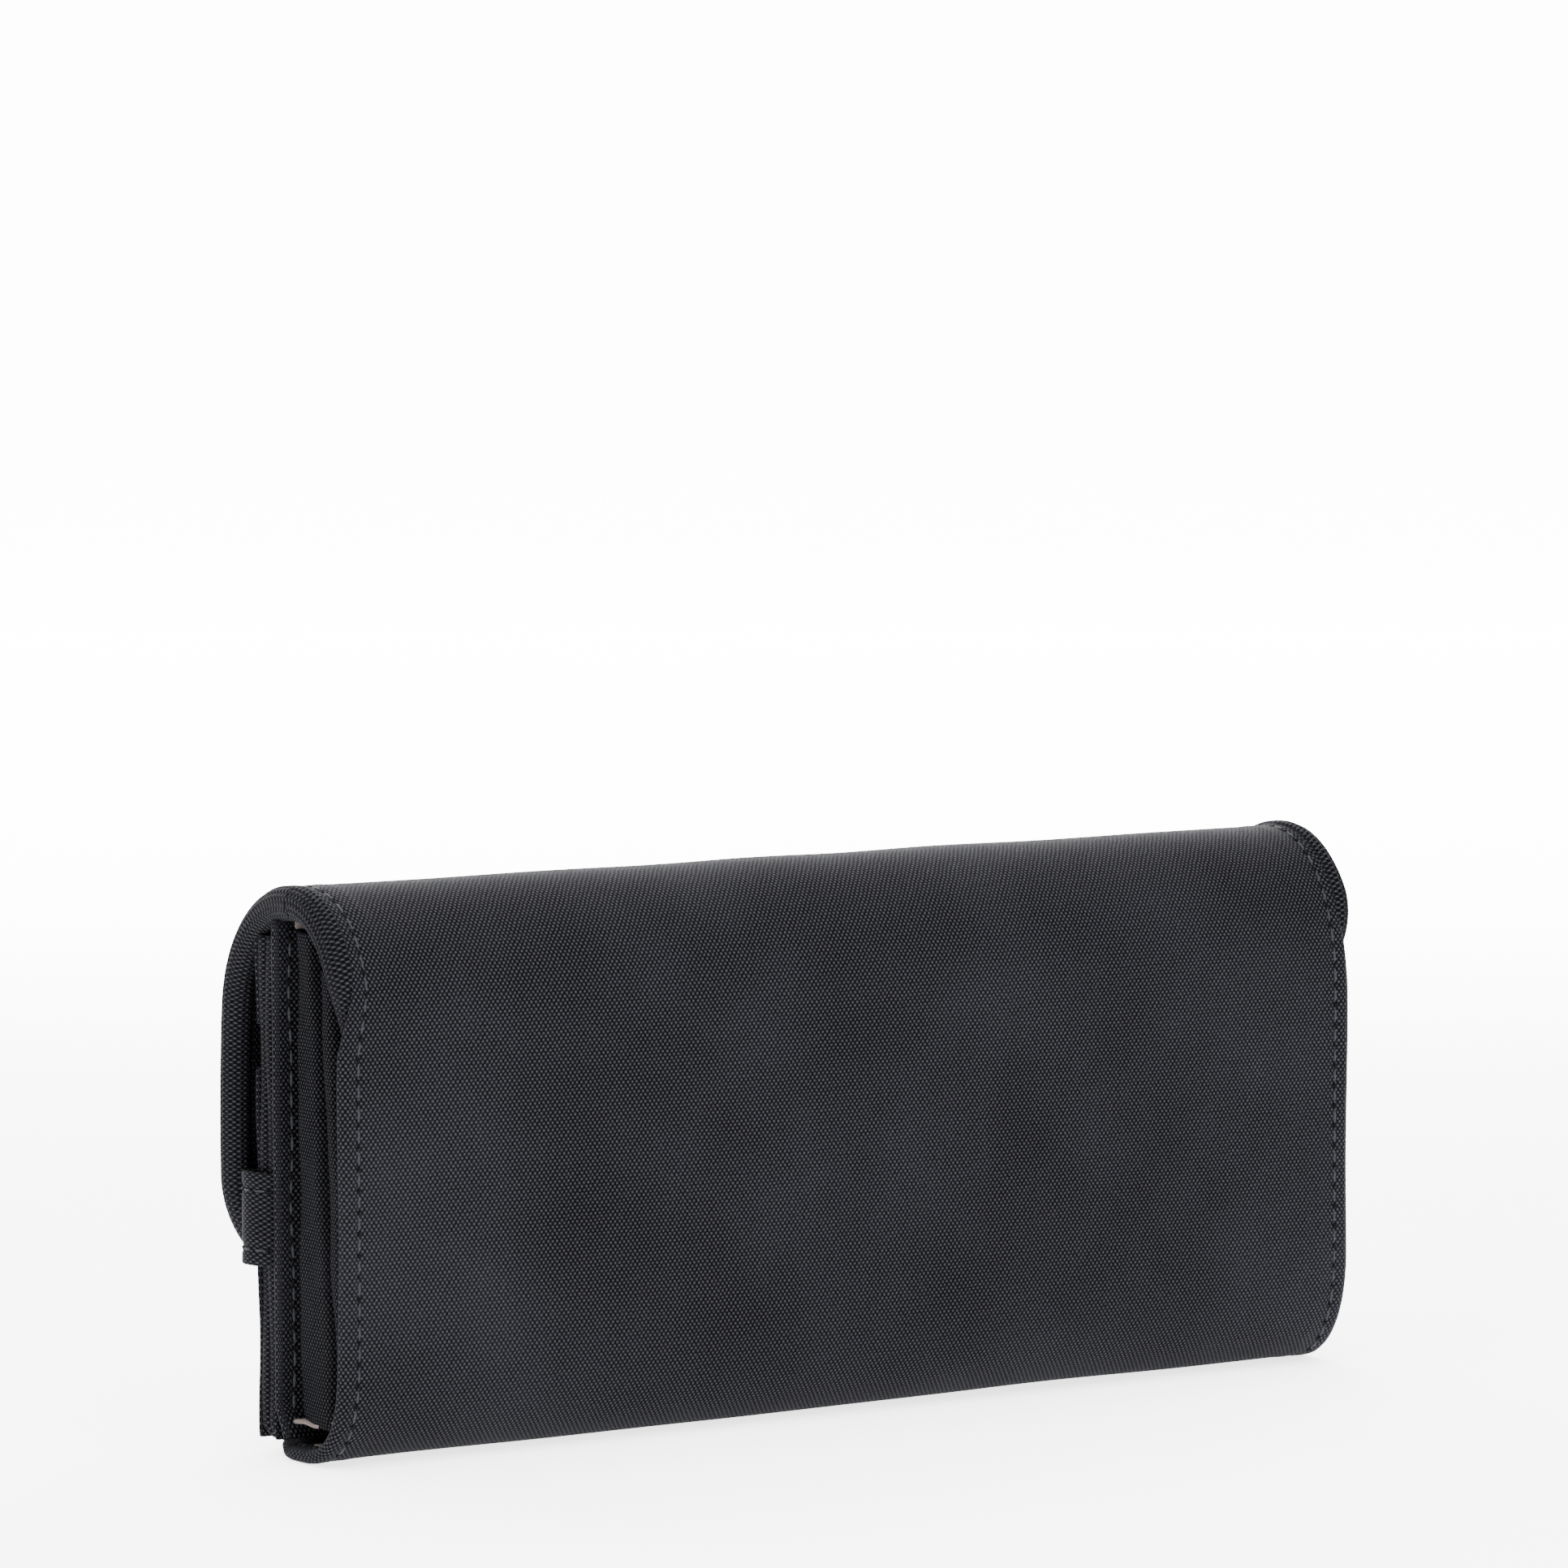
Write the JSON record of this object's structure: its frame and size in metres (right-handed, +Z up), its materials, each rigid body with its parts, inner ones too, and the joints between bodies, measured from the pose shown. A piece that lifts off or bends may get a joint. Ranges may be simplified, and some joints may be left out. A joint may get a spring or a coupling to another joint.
{
  "type": "travel wallet",
  "caption": "Long soft fabric travel wallet with a fold-over flap, gusseted compartments, card slots, a zipped pocket and a side loop.",
  "frame": {"origin": "middle of the flat base, at the height of the surface that the wallet stands on", "axes": "+X along the wallet's length, towards the end with the side loop; +Y towards the plain back panel, so the flap faces -Y; +Z up"},
  "size_m": [0.2172, 0.0417, 0.098],
  "materials": {
    "nylon": "charcoal plain-weave nylon with a faint sheen",
    "nylon_band": "the same nylon cut on the edge, ribbed",
    "gusset_nylon": "thin dark nylon",
    "flap_facing": "dark nylon facing",
    "lining": "warm grey woven lining",
    "foam": "sewn-in foam interlining, out of sight",
    "zip_tape": "woven zip tape",
    "zip_coil": "black nylon teeth",
    "gunmetal": "dark gunmetal plating"
  },
  "bodies": {
    "back_section": {"outer_back_panel": "nylon", "back_foam": "foam", "back_lining": "lining", "back_edge_band_left": "nylon_band", "back_edge_band_right": "nylon_band", "gusset_rear_left": "gusset_nylon", "gusset_rear_right": "gusset_nylon"},
    "divider": {"divider_front_panel": "gusset_nylon", "divider_back_panel": "gusset_nylon", "divider_binding": "nylon_band", "card_tier_1": "nylon", "card_tier_2": "nylon", "card_tier_3": "nylon", "card_tier_4": "nylon"},
    "front_section": {"front_panel": "nylon", "front_foam": "foam", "front_lining": "lining", "passport_sleeve": "lining", "gusset_front_left": "gusset_nylon", "gusset_front_right": "gusset_nylon", "pocket_back_lining": "lining", "pocket_binding": "nylon_band", "pocket_lower_panel": "nylon", "pocket_upper_panel": "nylon", "zip_tape_lower": "zip_tape", "zip_tape_upper": "zip_tape", "zip_teeth_lower": "zip_coil", "zip_teeth_upper": "zip_coil", "zip_stops": "gunmetal", "side_loop": "nylon_band", "snap_stud": "gunmetal", "snap_post": "gunmetal"},
    "zip_slider": {"zip_slider": "gunmetal"},
    "zip_puller": {"zip_puller": "gunmetal"},
    "flap_spine": {"spine_outer": "nylon", "spine_foam": "foam", "spine_lining": "flap_facing", "spine_edge_band_left": "nylon_band", "spine_edge_band_right": "nylon_band"},
    "flap_front": {"flap_outer": "nylon", "flap_foam": "foam", "flap_lining": "flap_facing", "flap_edge_band": "nylon_band", "snap_cap": "gunmetal", "snap_socket": "gunmetal"}
  },
  "joints": [
    {"name": "flap_spine_fold", "type": "hinge", "parent": "back_section", "child": "flap_spine", "pos_m": [0, 0.01058, 0.09126], "axis": [-1, 0, 0], "range_deg": [0, 90]},
    {"name": "flap_front_fold", "type": "hinge", "parent": "flap_spine", "child": "flap_front", "pos_m": [0, -0.01766, 0.09126], "axis": [-1, 0, 0], "range_deg": [0, 91]},
    {"name": "divider_lean", "type": "hinge", "parent": "back_section", "child": "divider", "pos_m": [0, -0.002, 0.003], "axis": [1, 0, 0], "range_deg": [0, 9.5]},
    {"name": "front_section_lean", "type": "hinge", "parent": "divider", "child": "front_section", "pos_m": [0, -0.002, 0.003], "axis": [1, 0, 0], "range_deg": [0, 9.5]},
    {"name": "zip_slide", "type": "slide", "parent": "front_section", "child": "zip_slider", "axis": [1, 0, 0], "range_m": [0, 0.164]},
    {"name": "puller_swing", "type": "hinge", "parent": "zip_slider", "child": "zip_puller", "pos_m": [-0.082, -0.01385, 0.07], "axis": [0, 0, -1], "range_deg": [0, 15]}
  ],
  "couplings": [
    {"joint": "flap_front_fold", "follows": "flap_spine_fold", "ratio": 1},
    {"joint": "divider_lean", "follows": "flap_spine_fold", "ratio": 0.1},
    {"joint": "front_section_lean", "follows": "flap_spine_fold", "ratio": 0.1}
  ]
}
